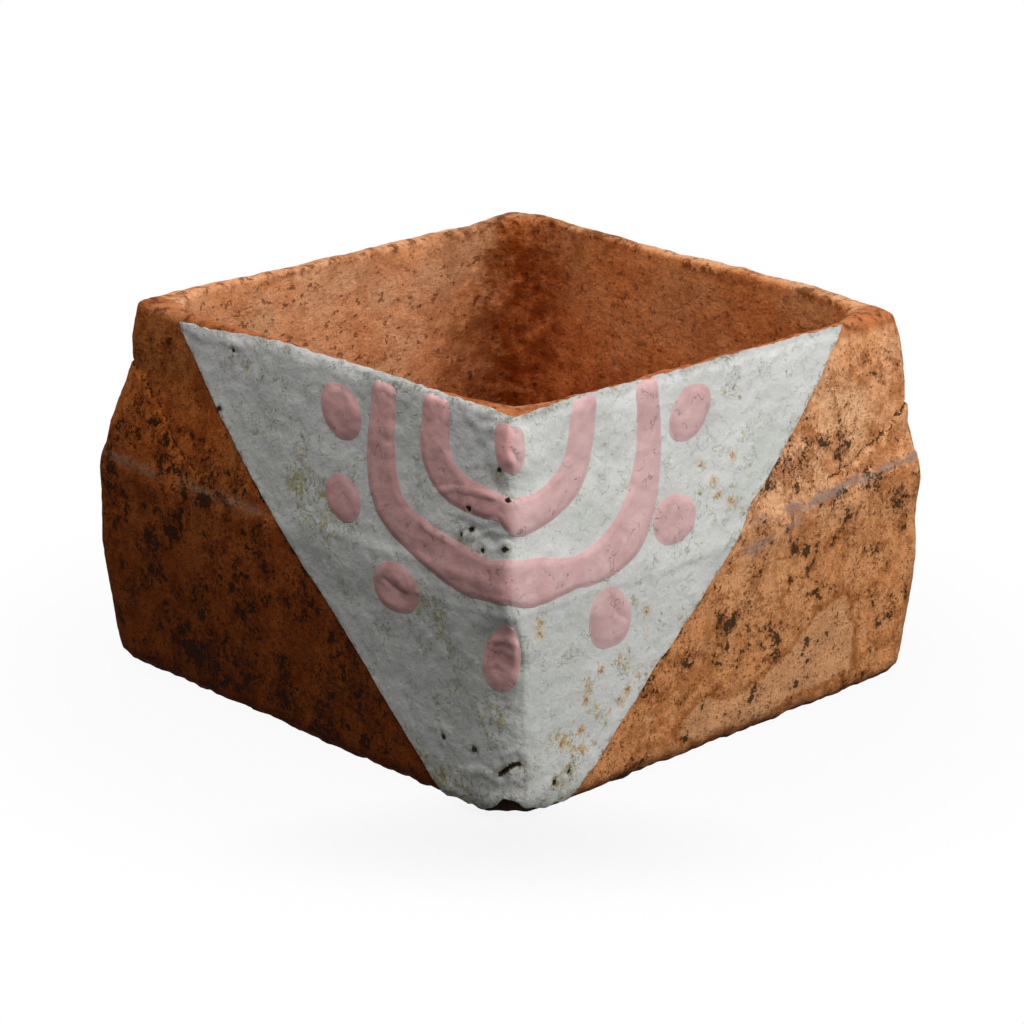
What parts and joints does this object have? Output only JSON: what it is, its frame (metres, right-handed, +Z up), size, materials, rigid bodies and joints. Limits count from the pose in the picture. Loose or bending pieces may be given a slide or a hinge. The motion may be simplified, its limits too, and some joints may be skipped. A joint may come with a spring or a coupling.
{
  "type": "square plant pot",
  "caption": "Square terracotta plant pot with a flared belly, open mouth and drain hole, and a white painted corner with raised pink arches and spots.",
  "frame": {"origin": "middle of the flat face that the pot stands on", "axes": "+Z up out of the mouth; the four walls face +X, -X, +Y and -Y; the painted corner points to -X -Y"},
  "size_m": [0.1408, 0.1408, 0.09],
  "materials": {
    "clay": "matte",
    "white_paint": "matte",
    "pink_paint": "satin"
  },
  "bodies": {
    "root": {"clay_pot": "clay", "white_panel": "white_paint", "inner_arch": "pink_paint", "outer_arch": "pink_paint", "spot_centre": "pink_paint", "spot_upper_left": "pink_paint", "spot_middle_left": "pink_paint", "spot_lower_left": "pink_paint", "spot_bottom": "pink_paint", "spot_lower_right": "pink_paint", "spot_middle_right": "pink_paint", "spot_upper_right": "pink_paint"}
  },
  "joints": []
}
